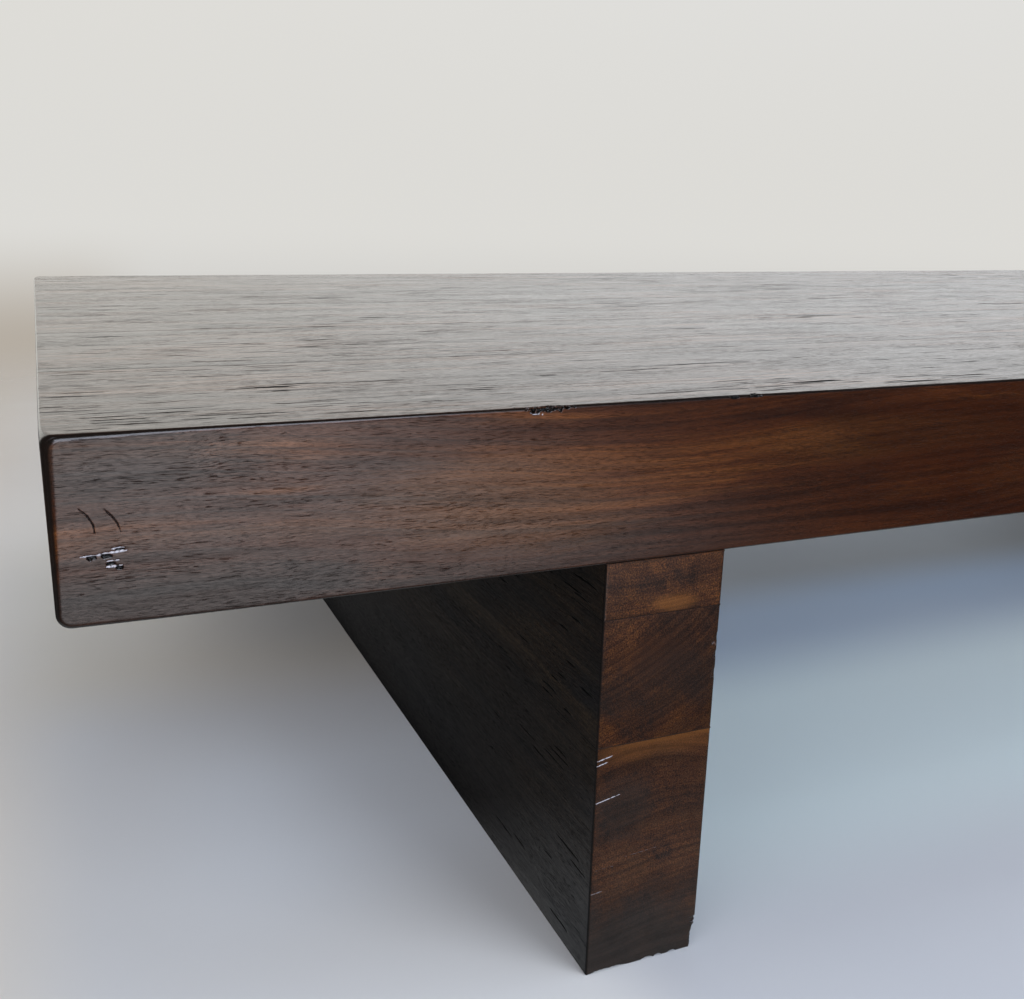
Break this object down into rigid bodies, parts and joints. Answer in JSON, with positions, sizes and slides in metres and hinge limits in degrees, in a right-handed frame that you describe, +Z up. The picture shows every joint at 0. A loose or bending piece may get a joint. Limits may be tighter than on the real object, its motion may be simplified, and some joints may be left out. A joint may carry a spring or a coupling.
{
  "type": "backless bench",
  "caption": "Low backless bench: a thick dark-stained walnut slab seat that overhangs two full-depth panel legs.",
  "frame": {"origin": "on the floor, at the centre of the footprint", "axes": "+X along the seat, -Y towards the front edge, +Z up"},
  "size_m": [2.1, 1, 0.406],
  "materials": {
    "seat_walnut": "espresso-stained walnut, satin lacquer, fine grain along the seat",
    "leg_walnut": "espresso-stained walnut, satin lacquer, grain along the depth, end grain at the front and back",
    "beech": "unfinished beech",
    "black_steel": "black powder coat, satin",
    "zinc_steel": "bright zinc plate"
  },
  "bodies": {
    "root": {"seat_stave_1": "seat_walnut", "seat_stave_2": "seat_walnut", "seat_stave_3": "seat_walnut", "seat_stave_4": "seat_walnut", "seat_stave_5": "seat_walnut", "stave_joint_tenons_1": "beech", "stave_joint_tenons_2": "beech", "stave_joint_tenons_3": "beech", "stave_joint_tenons_4": "beech", "left_leg_upper_board": "leg_walnut", "right_leg_upper_board": "leg_walnut", "left_leg_middle_board": "leg_walnut", "right_leg_middle_board": "leg_walnut", "left_leg_lower_board": "leg_walnut", "right_leg_lower_board": "leg_walnut", "left_leg_upper_dowels": "beech", "right_leg_upper_dowels": "beech", "left_leg_lower_dowels": "beech", "right_leg_lower_dowels": "beech", "left_front_bracket": "black_steel", "left_centre_bracket": "black_steel", "left_back_bracket": "black_steel", "right_front_bracket": "black_steel", "right_centre_bracket": "black_steel", "right_back_bracket": "black_steel", "left_leg_screws": "zinc_steel", "right_leg_screws": "zinc_steel", "left_seat_bolts": "zinc_steel", "right_seat_bolts": "zinc_steel", "left_bolt_washers": "zinc_steel", "right_bolt_washers": "zinc_steel", "left_seat_inserts": "zinc_steel", "right_seat_inserts": "zinc_steel"}
  },
  "joints": []
}
